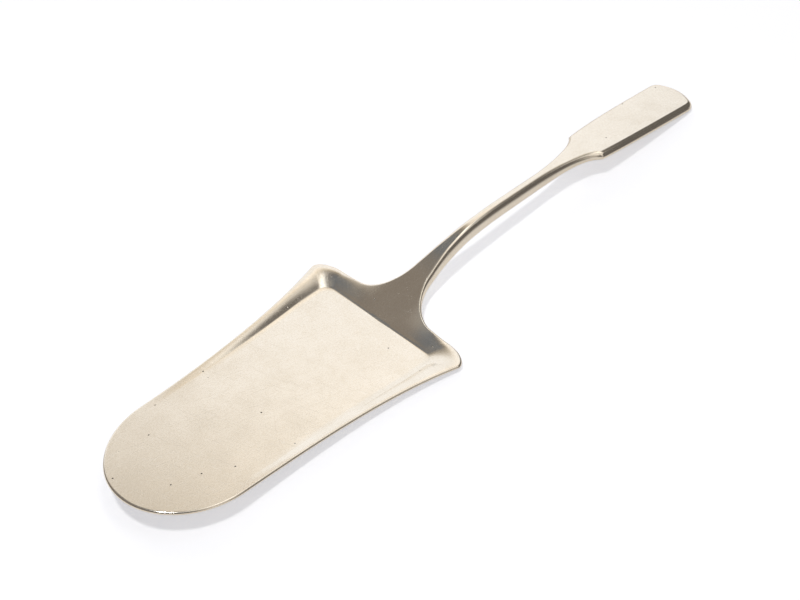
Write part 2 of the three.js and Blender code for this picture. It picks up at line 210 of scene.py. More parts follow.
class Outline:
    """Half of the server's outline, seen from above, from the tip to the handle's end."""

    TIP_STEPS = 22
    TIP_CROWDING = 1.15
    END_CORNER_SETBACK = 0.24
    END_CORNER_WIDTH = 0.67

    def __init__(self, blade: BladeSizes, handle: HandleSizes) -> None:
        """Lays out the corner points and the stretches between them.

        Args:
            blade: Sizes of the blade.
            handle: Sizes of the handle.
        """
        self.blade = blade
        rear = blade.floor_length + blade.back_wall_length
        neck = rear + handle.neck_length
        stem_start = neck + handle.neck_taper_length
        stem_end = stem_start + handle.stem_length
        cusp = stem_end + handle.flare_length
        end = cusp + handle.paddle_length
        self.rear_x, self.neck_x, self.stem_start_x = rear, neck, stem_start
        self.stem_end_x, self.cusp_x, self.end_x = stem_end, cusp, end
        corner = handle.paddle_corner_length
        tip = (blade.tip_length, blade.tip_half_width)
        shoulder = (rear - blade.shoulder_setback, blade.shoulder_half_width)
        rear_corner = (rear, blade.shoulder_half_width - blade.shoulder_corner)
        root = (rear, handle.neck_root_half_width)
        neck_point = (neck, handle.neck_half_width)
        stem_front = (stem_start, handle.stem_half_width)
        stem_back = (stem_end, handle.stem_half_width)
        cusp_point = (cusp, handle.cusp_half_width)
        side = (end - corner, handle.paddle_half_width)
        end_corner = (end - self.END_CORNER_SETBACK * corner,
                      self.END_CORNER_WIDTH * handle.paddle_half_width)
        self.flank = Stretch(tip, shoulder, ((0.35, 0.07), (0.72, 0.28)), 32)
        self.shoulder = Stretch(shoulder, rear_corner, ((0.47, -0.05), (0.97, 0.43)), 16)
        self.rear_edge = Stretch(rear_corner, root, ((0, 0.33), (1, 0.67)), 8)
        self.fillet = Stretch(root, neck_point, ((0.01, 0.38), (0.3, 0.91)), 18)
        self.handle = [
            Stretch(neck_point, stem_front, ((0.22, 0.67), (0.52, 0.97)), 14),
            Stretch(stem_front, stem_back, ((0.35, 0), (0.65, 0)), 8),
            Stretch(stem_back, cusp_point, ((0.48, 0.04), (0.84, 0.3)), 16),
            Stretch(cusp_point, side, ((0.14, 0.53), (0.43, 0.91)), 18),
            Stretch(side, end_corner, ((0.64, 0), (0.81, 0.39)), 9),
            Stretch(end_corner, (end, 0.0), ((0.62, 0.3), (1, 0.63)), 9),
        ]

    def tip_points(self, refine: int) -> np.ndarray:
        """Returns the rounded tip: a quarter of an ellipse, crowded where it is steep."""
        count = self.TIP_STEPS * refine
        angle = math.pi / 2 * (np.arange(count) / count) ** self.TIP_CROWDING
        x = self.blade.tip_length * (1 - np.cos(angle))
        y = self.blade.tip_half_width * np.sin(angle)
        return np.stack([x, y], axis=1)

    def points(self, refine: int) -> np.ndarray:
        """Returns every point of the half outline, cut finer by the refine factor."""
        stretches = [self.flank, self.shoulder, self.rear_edge, self.fillet, *self.handle]
        parts = [self.tip_points(refine), *(s.points(refine) for s in stretches)]
        return np.concatenate([*parts, [[self.end_x, 0.0]]])

    def distance(self, x: np.ndarray, y: np.ndarray, refine: int) -> np.ndarray:
        """Returns how far each point lies from the outline.

        For each straight step of the outline, the nearest point of the step is at a share
        kept within 0 and 1, and the least of all these distances is kept.

        Args:
            x: Stations of the points.
            y: Distances of the points from the centre line, on either side.
            refine: How much finer than a Stretch's steps the outline is cut.

        Returns:
            The distances.
        """
        line = self.points(refine)
        across = np.abs(y)
        best = np.full(x.shape, np.inf)
        for (ax, ay), (bx, by) in zip(line[:-1], line[1:]):
            dx, dy = bx - ax, by - ay
            t = np.clip(((x - ax) * dx + (across - ay) * dy) / (dx * dx + dy * dy), 0, 1)
            squared = (x - ax - t * dx) ** 2 + (across - ay - t * dy) ** 2
            best = np.minimum(best, squared)
        return np.sqrt(best)


class Face(Enum):
    """The two faces of the metal."""

    TOP = "top"
    UNDERSIDE = "underside"


@dataclass
class StepCounts:
    """How many steps half a rib has: over the floor, up the wall and round the edge."""

    floor: int
    wall: int
    edge: int


@dataclass
class Ribs:
    """Curves of the mesh from the centre line to the outline, seen from above.

    Each array has a row for each rib: the points where it starts, where it leaves the floor,
    the point that it bends towards, its point on the outline and the outline's normal there.
    The last array caps the share of its outer part that the rounded edge may take up.
    """

    centre: np.ndarray
    border: np.ndarray
    bend: np.ndarray
    outline: np.ndarray
    normal: np.ndarray
    widest_edge: np.ndarray

    def edge_share(self, radius: np.ndarray) -> np.ndarray:
        """Returns the share of each rib's outer part that a rounded edge takes up."""
        last = self.outline - self.bend
        reach = 2 * np.abs((last * self.normal).sum(axis=1))
        return np.minimum(radius / np.maximum(reach, TINY), self.widest_edge)

    def wall_length(self) -> np.ndarray:
        """Returns the length of each rib's way from the floor's border to the outline."""
        return np.linalg.norm(self.outline - self.border, axis=1)

    def over_floor(self, shares: np.ndarray) -> np.ndarray:
        """Returns the points at shares of the straight way over the floor."""
        return between(self.centre[:, None], self.border[:, None], shares[None, :, None])

    def over_wall(self, shares: np.ndarray) -> np.ndarray:
        """Returns the points at shares of the curved way from the floor to the outline."""
        t = shares[..., None]
        first = between(self.border[:, None], self.bend[:, None], t)
        second = between(self.bend[:, None], self.outline[:, None], t)
        return between(first, second, t)


class CakeServer:
    """The forged server: tray, rim, neck, stem and paddle as one closed surface."""

    # How finely the outline is cut for the ribs, and for distances to it.
    REFINE = 2
    DISTANCE_REFINE = 4
    # The tray's wall: the share of its width over which it rises, and how it levels out.
    WALL_SHARE = 0.78
    WALL_SHARE_AT_NECK = 1.4
    WALL_BOW = 1.8
    FOLD_SOFTNESS = 0.3
    # The neck's ridge: its half width in neck half widths, and its fade in shoulder ones.
    RIDGE_WIDTH = 1.4
    RIDGE_FADE = 0.74
    # The greatest share of a rib that its rounded edge, or the flat floor, may take up.
    WIDEST_EDGE_ON_BLADE = 0.45
    WIDEST_EDGE_ON_HANDLE = 0.97
    WIDEST_EDGE_ON_FAN = 0.8
    WIDEST_FLOOR = 0.9
    # The fan of ribs: how it starts and splits, and where its ribs have their bend.
    STEEPEST_RIB = 0.2
    FAN_LENGTH = 20.0
    FAN_SPLIT = 0.4
    STRAIGHT_REACH = 0.5
    BENT_REACH = 0.35

    def __init__(self, blade: BladeSizes, handle: HandleSizes) -> None:
        """Sets out the profiles along the centre line.

        Args:
            blade: Sizes of the blade.
            handle: Sizes of the handle.
        """
        self.blade = blade
        self.handle = handle
        self.outline = Outline(blade, handle)
        self.over = StepCounts(floor=14, wall=22, edge=14)
        self.under = StepCounts(floor=8, wall=8, edge=9)
        self.centre_top = self._centre_top()
        self.centre_depth = self._centre_depth()
        self.above_edge = self._above_edge()
        self.edge_reach = self._edge_reach()
        self.squareness = self._squareness()
        self.rim_width = self._rim_width()
        self.floor_half_width = self._floor_half_width()

    def _centre_top(self) -> Profile:
        """Returns the height of the metal's top along the centre line."""
        b, h, o = self.blade, self.handle, self.outline
        wall_x = between(b.floor_length, o.rear_x, 0.22)
        return Profile([
            (0, b.thickness),
            (b.floor_length, b.thickness),
            (wall_x, between(b.thickness, h.rear_edge_top, 0.21)),
            (o.rear_x, h.rear_edge_top),
            (o.neck_x, h.neck_top),
            (between(o.neck_x, o.stem_start_x, 0.3), between(h.neck_top, h.stem_top, 0.5)),
            (between(o.neck_x, o.stem_start_x, 0.7), between(h.neck_top, h.stem_top, 0.87)),
            (between(o.stem_start_x, o.stem_end_x, 0.2), h.stem_top),
            (between(o.stem_end_x, o.cusp_x, 0.3), between(h.stem_top, h.cusp_top, 0.75)),
            (between(o.stem_end_x, o.cusp_x, 0.8), h.cusp_top),
            (between(o.cusp_x, o.end_x, 0.04), between(h.cusp_top, h.end_top, 0.05)),
            (o.end_x, h.end_top),
        ])

    def _centre_depth(self) -> Profile:
        """Returns the depth of the metal along the centre line."""
        b, h, o = self.blade, self.handle, self.outline
        return Profile([
            (0, b.thickness),
            (b.floor_length, b.thickness),
            (o.rear_x, between(b.thickness, h.neck_depth, 0.26)),
            (o.neck_x, between(b.thickness, h.neck_depth, 0.87)),
            (between(o.neck_x, o.stem_start_x, 0.33), h.neck_depth),
            (o.stem_end_x, h.stem_depth),
            (o.cusp_x, h.paddle_thickness),
            (o.end_x, h.paddle_thickness),
        ])

    def _above_edge(self) -> Profile:
        """Returns the share of the depth that lies above the edge's outermost line."""
        b, h, o = self.blade, self.handle, self.outline
        return Profile([
            (b.floor_length, b.above_edge),
            (o.neck_x, between(b.above_edge, h.above_edge, 0.7)),
            (o.stem_start_x, h.above_edge),
            (o.stem_end_x, h.above_edge),
            (o.cusp_x, h.above_edge_on_paddle),
            (o.end_x, h.above_edge_on_paddle),
        ])

    def _squareness(self) -> dict[Face, Profile]:
        """Returns how square each face's edge is: 2 is a circle, and less is a bevel."""
        b, h, o = self.blade, self.handle, self.outline
        above = Profile([
            (b.floor_length, b.squareness),
            (o.stem_start_x, h.stem_squareness),
            (between(o.stem_end_x, o.cusp_x, 0.5), h.stem_squareness),
            (o.cusp_x, h.paddle_squareness),
            (o.end_x, h.paddle_squareness),
        ])
        below = Profile([
            (b.floor_length, b.squareness),
            (o.stem_start_x, h.squareness_below),
            (o.end_x, h.squareness_below),
        ])
        return {Face.TOP: above, Face.UNDERSIDE: below}

    def _edge_reach(self) -> Profile:
        """Returns how far the rounded edge reaches inwards: over all of the stem's width."""
        b, h, o = self.blade, self.handle, self.outline
        return Profile([
            (b.floor_length, b.edge_reach),
            (o.neck_x, h.edge_reach_at_neck),
            (o.stem_start_x, h.stem_half_width),
            (o.stem_end_x, h.stem_half_width),
            (between(o.stem_end_x, o.cusp_x, 0.8), h.edge_reach_on_paddle),
            (o.end_x, h.edge_reach_on_paddle),
        ])

    def _rim_width(self) -> Profile:
        """Returns the width of the rim beside the floor, which grows backwards."""
        b = self.blade
        tip, back = b.rim_width_at_tip, b.rim_width_at_back
        return Profile([
            (0, tip),
            (b.floor_length * 0.62, between(tip, back, 0.28)),
            (b.floor_length * 0.86, between(tip, back, 0.54)),
            (b.floor_length, back),
        ])

    def _floor_half_width(self) -> Profile:
        """Returns half the width of the tray's flat floor: the flank less the rim."""
        x, y = self.outline.flank.points(self.REFINE).T
        return Profile(np.stack([x, y - self.rim_width(x)], axis=1))

    def wall_share(self, shares: np.ndarray, length: np.ndarray) -> np.ndarray:
        """Returns how far up the tray's wall a point lies, with a softened fold.

        The share itself, times the way from the border over that way plus the softness.

        Args:
            shares: Shares of the way from the floor's border to the outline.
            length: Length of that way, in a column.

        Returns:
            0 at the floor's border, and nearly 1 at the outline.
        """
        return shares * shares * length / (shares * length + self.FOLD_SOFTNESS)

    def top_height(self, x: np.ndarray, y: np.ndarray, across: np.ndarray) -> np.ndarray:
        """Returns the height of the top before the edges are rounded.

        The tray's wall is steepest at the fold and levels out into a lip: it rises as 1 less
        a power of what is left of its width. Behind the floor, the centre line's profile
        blends into the rim sideways.

        Args:
            x: Stations.
            y: Distances from the centre line.
            across: How far up the wall each point lies.

        Returns:
            The heights.
        """
        b, o = self.blade, self.outline
        ridge = self.handle.neck_half_width * self.RIDGE_WIDTH
        fade = smooth(ridge, b.shoulder_half_width * self.RIDGE_FADE, np.abs(y))
        share = between(self.WALL_SHARE_AT_NECK, self.WALL_SHARE, fade)
        wall = 1 - (1 - np.clip(across / share, 0, 1)) ** self.WALL_BOW
        tray = b.thickness + b.rim_height * smooth(b.rim_start, o.rear_x, x) * wall
        behind = between(self.centre_top(x), tray, fade)
        height = np.where(x < b.floor_length, tray, behind)
        return np.where(x >= o.neck_x, self.centre_top(x), height)

    def depth(self, x: np.ndarray, y: np.ndarray) -> np.ndarray:
        """Returns the depth before the edges are rounded: the root thins out sideways."""
        h = self.handle
        centre = self.centre_depth(x)
        fade = smooth(h.neck_half_width, h.neck_root_half_width, np.abs(y))
        spread = between(centre, self.blade.thickness, fade)
        return np.where(x >= self.outline.neck_x, centre, spread)

    def edge_height(self, x: np.ndarray, y: np.ndarray, across: np.ndarray) -> np.ndarray:
        """Returns the height of the edge's outermost line at points of the outline."""
        return self.top_height(x, y, across) - self.depth(x, y) * self.above_edge(x)

    @staticmethod
    def roundness(distance: np.ndarray, radius: np.ndarray, power: np.ndarray) -> np.ndarray:
        """Returns the share of the depth left at a distance from the edge: a superellipse."""
        inward = np.clip(distance / radius, 0, 1)
        return (1 - (1 - inward) ** power) ** (1 / power)

    def ribs(self) -> Ribs:
        """Lays out the ribs, from the centre line over the floor's border to the outline.

        Ribs run straight across the blade's front and the handle. In between they fan out:
        over the floor's rounded corner, along its back edge, and then along the neck. From
        the shoulder to the neck they also bend, so that they meet the outline squarely.

        Returns:
            The ribs.
        """
        b, h, o = self.blade, self.handle, self.outline
        points = o.points(self.REFINE)
        step = np.gradient(points, axis=0)
        normal = np.stack([-step[:, 1], step[:, 0]], axis=1)
        normal /= np.linalg.norm(step, axis=1)[:, None]
        x, y = points.T
        i = np.arange(len(points))
        flank_end = (o.TIP_STEPS + o.flank.steps) * self.REFINE
        rear = flank_end + o.shoulder.steps * self.REFINE
        fillet = rear + o.rear_edge.steps * self.REFINE
        neck = fillet + o.fillet.steps * self.REFINE
        split = int(between(fillet, neck, self.FAN_SPLIT))
        before_wall = np.array([self.FAN_LENGTH, b.floor_corner_radius])
        first, corner = np.searchsorted(x[:flank_end], b.floor_length - before_wall)
        fanned = (i >= first) & (i < neck)

        cosine = np.maximum(normal[:, 1], self.STEEPEST_RIB)
        widest = np.where(x < o.neck_x, self.WIDEST_EDGE_ON_BLADE, self.WIDEST_EDGE_ON_HANDLE)
        edge = np.minimum(self.edge_reach(x) / cosine / np.maximum(y, TINY), widest)
        flat = np.minimum((1 - edge) * self.WIDEST_FLOOR * y, self.floor_half_width(x))

        turn = math.pi / 2 * np.interp(i, [corner, rear], [0, 1])
        radius = b.floor_corner_radius
        corner_x = b.floor_length - radius * (1 - np.sin(turn))
        corner_y = self.floor_half_width(corner_x) - radius * (1 - np.cos(turn))
        along = np.interp(i, [split, neck], [b.floor_length, o.neck_x])
        back_y = np.interp(i, [rear, split, neck], [corner_y[rear], h.neck_half_width, flat[neck]])
        stages = [~fanned | (i < corner), i < rear]
        border = np.stack([
            np.select(stages, [x, corner_x], along),
            np.select(stages, [flat, corner_y], back_y),
        ], axis=1)
        centre = np.interp(i, [first, split, neck], [x[first], b.floor_length, o.neck_x])

        bent = np.interp(i, [flank_end, rear, split, neck], [0, 1, 1, 0])[:, None]
        chord = points - border
        length = np.maximum(np.linalg.norm(chord, axis=1), TINY)[:, None]
        heading = between(chord / length, normal, bent)
        heading /= np.maximum(np.linalg.norm(heading, axis=1)[:, None], TINY)
        bend = points - heading * length * between(self.STRAIGHT_REACH, self.BENT_REACH, bent)
        widest_edge = np.where(fanned, self.WIDEST_EDGE_ON_FAN, edge * y / length[:, 0])
        start = np.stack([np.where(fanned, centre, x), np.zeros_like(x)], axis=1)
        columns = (start, border, bend, points, normal, widest_edge)
        return Ribs(*(column[1:-1] for column in columns))

    def face_points(self, ribs: Ribs, steps: StepCounts, face: Face) -> np.ndarray:
        """Returns the points of one face on the ribs' +Y half.

        Floor and wall are cut evenly, and the rounded edge by the sine of even angles. How
        far up the wall a point lies is 0 all over the floor.

        Args:
            ribs: The ribs.
            steps: Number of steps in each part of a rib.
            face: The face.

        Returns:
            Points by rib, step and axis.
        """
        edge = ribs.edge_share(self.edge_reach(ribs.outline[:, 0]))[:, None]
        wall = (1 - edge) * np.arange(steps.wall) / steps.wall
        sine = np.sin(math.pi / 2 * np.arange(steps.edge) / steps.edge)
        shares = np.concatenate([wall, 1 - edge * (1 - sine)], axis=1)
        floor_points = ribs.over_floor(np.arange(steps.floor) / steps.floor)
        points = np.concatenate([floor_points, ribs.over_wall(shares)], axis=1)
        x, y = np.moveaxis(points, -1, 0)
        across = self.wall_share(shares, ribs.wall_length()[:, None])
        across = np.pad(across, ((0, 0), (steps.floor, 0)))
        full = self.depth(x, y)
        above = full * self.above_edge(x)
        edge_line = self.top_height(x, y, across) - above
        to_edge = self.outline.distance(x, y, self.DISTANCE_REFINE)
        radius = np.minimum(self.edge_reach(x), ribs.outline[:, 1:])
        left = self.roundness(to_edge, radius, self.squareness[face](x))
        height = (above if face is Face.TOP else above - full) * left
        return np.stack([x, y, edge_line + height], axis=-1)

    def surface(self) -> tuple[np.ndarray, list[list[int]]]:
        """Works out the whole closed surface, with the blade level.

        Each rib gives one closed loop: over the top from +Y to -Y, then back underneath.

        Returns:
            The vertices in millimetres, and the faces as lists of vertex numbers.
        """
        ribs = self.ribs()
        mirror = np.array([1.0, -1.0, 1.0])
        top = self.face_points(ribs, self.over, Face.TOP)
        under = self.face_points(ribs, self.under, Face.UNDERSIDE)
        outermost = self.wall_share(np.ones(len(ribs.outline)), ribs.wall_length())
        rim_z = self.edge_height(*ribs.outline.T, outermost)
        rim = np.column_stack([ribs.outline, rim_z])[:, None]
        loops = np.concatenate([
            rim, top[:, :0:-1], top * mirror, rim * mirror, under[:, :0:-1] * mirror, under,
        ], axis=1)
        poles = np.array([[0.0, 0.0], [self.outline.end_x, 0.0]])
        pole_z = self.edge_height(*poles.T, np.ones(2))
        vertices = np.concatenate([loops.reshape(-1, 3), np.column_stack([poles, pole_z])])
        return vertices, self._faces(*loops.shape[:2])

    @staticmethod
    def _faces(count: int, around: int) -> list[list[int]]:
        """Returns quads between neighbouring loops, and a fan of triangles at each end.

        Args:
            count: Number of loops.
            around: Number of points in each loop.

        Returns:
            Each face as a list of vertex numbers. The last two vertices are the ends.
        """
        grid = np.arange(count * around).reshape(count, around)
        turned = np.roll(grid, -1, axis=1)
        quads = np.stack([grid[:-1], turned[:-1], turned[1:], grid[1:]], axis=-1).reshape(-1, 4)
        tip, end = count * around, count * around + 1
        tip_fan = np.stack([np.full(around, tip), turned[0], grid[0]], axis=-1)
        end_fan = np.stack([np.full(around, end), grid[-1], turned[-1]], axis=-1)
        return quads.tolist() + tip_fan.tolist() + end_fan.tolist()

    def settle(self, vertices: np.ndarray) -> np.ndarray:
        """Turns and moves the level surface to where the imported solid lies.

        The turn about Y is that of the underside's normal in the record. The shift lays the
        surface's box on the node's: their middles along X and Y, and their lowest points.

        Args:
            vertices: Vertices in millimetres, with the blade level.

        Returns:
            Vertices in metres, in the frame.
        """
        normal = frame["record"]["mounts"][0]["axis"]
        tilt = math.atan2(-normal[0], -normal[2])
        turn = np.array(Matrix.Rotation(tilt, 3, "Y"))
        turned = vertices @ turn.T * MM
        low, high = (np.array(corner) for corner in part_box(BODY_NODE))
        shift = (low + high - turned.min(axis=0) - turned.max(axis=0)) / 2
        shift[2] = low[2] - turned[:, 2].min()
        return turned + shift

    def build(self, finish: "WornPolish") -> bpy.types.Object:
        """Builds the server, dresses it and lets it stand for its node.

        Args:
            finish: The finish of the metal.

        Returns:
            The server's object.
        """
        vertices, faces = self.surface()
        mesh = bpy.data.meshes.new("server_surface")
        mesh.from_pydata(self.settle(vertices).tolist(), [], faces)
        mesh.shade_smooth()
        mesh.materials.append(finish.material("worn_polish"))
        server = bpy.data.objects.new("server_surface", mesh)
        bpy.context.scene.collection.objects.link(server)
        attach(server, "root")
        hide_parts(BODY_NODE)
        LOG.info("%s: %d vertices, %d faces", server.name, len(vertices), len(faces))
        return server


@dataclass(frozen=True)
class Signal:
    """A shader socket that takes part in Python expressions."""

    graph: "Graph"
    socket: bpy.types.NodeSocket

    def _math(self, operation: str, *values: "Signal | float") -> "Signal":
        """Returns the result of a Math node on the values."""
        sockets = dict(enumerate(values))
        return self.graph.signal("ShaderNodeMath", {"operation": operation}, sockets)

    def __add__(self, other: "Signal | float") -> "Signal":
        """Returns self + other."""
        return self._math("ADD", self, other)

    def __radd__(self, other: float) -> "Signal":
        """Returns other + self."""
        return self._math("ADD", other, self)

    def __sub__(self, other: "Signal | float") -> "Signal":
        """Returns self - other."""
        return self._math("SUBTRACT", self, other)

    def __rsub__(self, other: float) -> "Signal":
        """Returns other - self."""
        return self._math("SUBTRACT", other, self)

    def __mul__(self, other: "Signal | float") -> "Signal":
        """Returns self * other."""
        return self._math("MULTIPLY", self, other)

    def __rmul__(self, other: float) -> "Signal":
        """Returns other * self."""
        return self._math("MULTIPLY", other, self)

    def __truediv__(self, other: "Signal | float") -> "Signal":
        """Returns self / other."""
        return self._math("DIVIDE", self, other)

    def eased(self, start: float, end: float) -> "Signal":
        """Returns 0 at start, 1 at end, and a smooth step between."""
        settings = {"interpolation_type": "SMOOTHSTEP"}
        values = {"Value": self, "From Min": start, "From Max": end}
        return self.graph.signal("ShaderNodeMapRange", settings, values)


class Graph:
    """The nodes of one material or world."""

    # Numbers of a Mix node's inputs and output when it mixes colours.
    FACTOR, FIRST, SECOND, MIXED = 0, 6, 7, 2

    def __init__(self, tree: bpy.types.NodeTree) -> None:
        """Starts with an empty tree."""
        self.tree = tree
        tree.nodes.clear()

    def node(self, kind: str, settings: dict | None = None,
             sockets: dict | None = None) -> bpy.types.Node:
        """Makes a node.

        Args:
            kind: The node's type.
            settings: Its properties, set first.
            sockets: A value or a Signal for each input, by name or number.

        Returns:
            The node.
        """
        made = self.tree.nodes.new(kind)
        for name, value in (settings or {}).items():
            setattr(made, name, value)
        for key, value in (sockets or {}).items():
            if isinstance(value, Signal):
                self.tree.links.new(value.socket, made.inputs[key])
            else:
                made.inputs[key].default_value = value
        return made

    def signal(self, kind: str, settings: dict | None = None, sockets: dict | None = None,
               output: str | int = 0) -> Signal:
        """Makes a node and returns one of its outputs, by name or number."""
        return Signal(self, self.node(kind, settings, sockets).outputs[output])

    def noise(self, place: Signal, size: float, detail: float = 2.0,
              roughness: float = 0.5) -> Signal:
        """Returns noise about 0.5.

        Args:
            place: Where the noise is read.
            size: Size of its largest features.
            detail: Number of finer layers on top.
            roughness: Strength of each finer layer against the one before.

        Returns:
            The noise.
        """
        sockets = {"Vector": place, "Scale": 1 / size, "Detail": detail, "Roughness": roughness}
        return self.signal("ShaderNodeTexNoise", {}, sockets)

    def dot(self, first: Signal, second: Sequence[float]) -> Signal:
        """Returns the dot product of two vectors."""
        settings = {"operation": "DOT_PRODUCT"}
        return self.signal("ShaderNodeVectorMath", settings, {0: first, 1: second}, "Value")

    def mix(self, factor: Signal | float, first: "Signal | Colour", second: "Signal | Colour",
            blend: str = "MIX") -> Signal:
        """Mixes two colours.

        Args:
            factor: Share of the second colour.
            first: First colour.
            second: Second colour.
            blend: Blend mode.

        Returns:
            The mixed colour.
        """
        settings = {"data_type": "RGBA", "blend_type": blend}
        sockets = {self.FACTOR: factor, self.FIRST: opaque(first), self.SECOND: opaque(second)}
        return self.signal("ShaderNodeMix", settings, sockets, self.MIXED)


def opaque(colour: "Signal | Colour") -> "Signal | tuple[float, float, float, float]":
    """Returns a colour with alpha 1, and leaves a Signal as it is."""
    return colour if isinstance(colour, Signal) else (*colour, 1.0)


def direction(azimuth: float, elevation: float) -> Vector:
    """Returns the unit vector at an azimuth from +X and an elevation, both in degrees."""
    a, e = math.radians(azimuth), math.radians(elevation)
    return Vector((math.cos(a) * math.cos(e), math.sin(a) * math.cos(e), math.sin(e)))


@dataclass(frozen=True)
class Scratches:
    """Fine parallel scratches of one direction.

    The angle is in degrees, and spacing and length are in metres. Noise from low up begins
    to count as a scratch, and from high up it counts in full.
    """

    angle: float
    spacing: float
    length: float
    low: float
    high: float


@dataclass(frozen=True)
class WornPolish:
    """Polished white metal with a warm cast, fine scratches, small pits and a soft wave.

    Lengths are in metres, and colours are linear. A range holds the noise values between
    which an effect grows from nothing to full.
    """

    bright: Colour = (0.91, 0.87, 0.80)
    tarnish: Colour = (0.83, 0.77, 0.67)
    pit_colour: Colour = (0.10, 0.085, 0.07)
    roughness: float = 0.14
    roughness_of_patina: float = 0.10
    roughness_of_scratches: float = 0.05
    roughness_of_pits: float = 0.5
    scratch_sets: tuple[Scratches, ...] = (
        Scratches(angle=18, spacing=0.00022, length=0.012, low=0.60, high=0.72),
        Scratches(angle=-52, spacing=0.00026, length=0.016, low=0.62, high=0.74),
        Scratches(angle=74, spacing=0.00024, length=0.010, low=0.62, high=0.74),
        Scratches(angle=-12, spacing=0.00030, length=0.020, low=0.63, high=0.75),
    )
    scratch_depth: float = 0.0000025
    wave_size: float = 0.011
    wave_depth: float = 0.000012
    patina_size: float = 0.008
    patina_detail: float = 5.0
    patina_roughness: float = 0.62
    patina_range: Point = (0.2, 0.95)
    patina_share: float = 0.5
    grain_size: float = 0.0005
    grain_range: Point = (0.3, 0.7)
    pit_spacing: float = 0.009
    pit_radius: float = 0.00026
    pit_border: Point = (0.5, 1.0)
    pit_lottery: Point = (0.70, 0.90)

    def _scratch_mask(self, graph: Graph, place: Signal) -> Signal:
        """Returns how much a point lies in a scratch of any direction.

        Each set is noise stretched along its direction, of which only the peaks are kept.
        """
        total: Signal | float = 0.0
        for scratch in self.scratch_sets:
            scale = (1 / scratch.length, 1 / scratch.spacing, 1 / scratch.length)
            sockets = {"Vector": place, "Rotation": (0, 0, math.radians(scratch.angle))}
            turned = graph.signal("ShaderNodeMapping", {}, sockets)
            stretched = graph.signal("ShaderNodeMapping", {}, {"Vector": turned, "Scale": scale})
            total = graph.noise(stretched, 1.0).eased(scratch.low, scratch.high) + total
        return total

    def _pit_mask(self, graph: Graph, place: Signal) -> Signal:
        """Returns how much a point lies in a pit: small dots in a few of the cells."""
        settings = {"feature": "F1", "voronoi_dimensions": "2D"}
        sockets = {"Vector": place, "Scale": 1 / self.pit_spacing, "Randomness": 1.0}
        cells = graph.node("ShaderNodeTexVoronoi", settings, sockets)
        distance = Signal(graph, cells.outputs["Distance"])
        cell_colour = Signal(graph, cells.outputs["Color"])
        lottery = graph.signal("ShaderNodeSeparateColor", {}, {0: cell_colour})
        radius = self.pit_radius / self.pit_spacing
        chosen = lottery.eased(*self.pit_lottery)
        return chosen * (1 - (distance / radius).eased(*self.pit_border))

    def material(self, name: str) -> bpy.types.Material:
        """Makes the material.

        Args:
            name: The material's name.

        Returns:
            The material.
        """
        material = bpy.data.materials.new(name)
        material.use_nodes = True
        graph = Graph(material.node_tree)
        place = graph.signal("ShaderNodeTexCoord", output="Object")
        scratches = self._scratch_mask(graph, place)
        pits = self._pit_mask(graph, place)
        patina = graph.noise(place, self.patina_size, self.patina_detail, self.patina_roughness)
        patina = patina.eased(*self.patina_range)
        grain = graph.noise(place, self.grain_size).eased(*self.grain_range)
        wave = graph.noise(place, self.wave_size)
        wear = self.patina_share * patina + (1 - self.patina_share) * grain
        colour = graph.mix(wear, self.bright, self.tarnish)
        colour = graph.mix(pits, colour, self.pit_colour)
        height = wave * self.wave_depth - scratches * self.scratch_depth - pits * self.pit_radius
        sockets = {"Height": height, "Strength": 1.0, "Distance": 1.0}
        bump = graph.signal("ShaderNodeBump", {}, sockets)
        rough = self.roughness + self.roughness_of_patina * patina
        rough = rough + self.roughness_of_scratches * scratches + self.roughness_of_pits * pits
        sockets = {"Base Color": colour, "Metallic": 1.0, "Roughness": rough, "Normal": bump}
        shader = graph.signal("ShaderNodeBsdfPrincipled", {}, sockets)
        graph.node("ShaderNodeOutputMaterial", {}, {"Surface": shader})
        LOG.info("material %s: %d nodes", name, len(graph.tree.nodes))
        return material


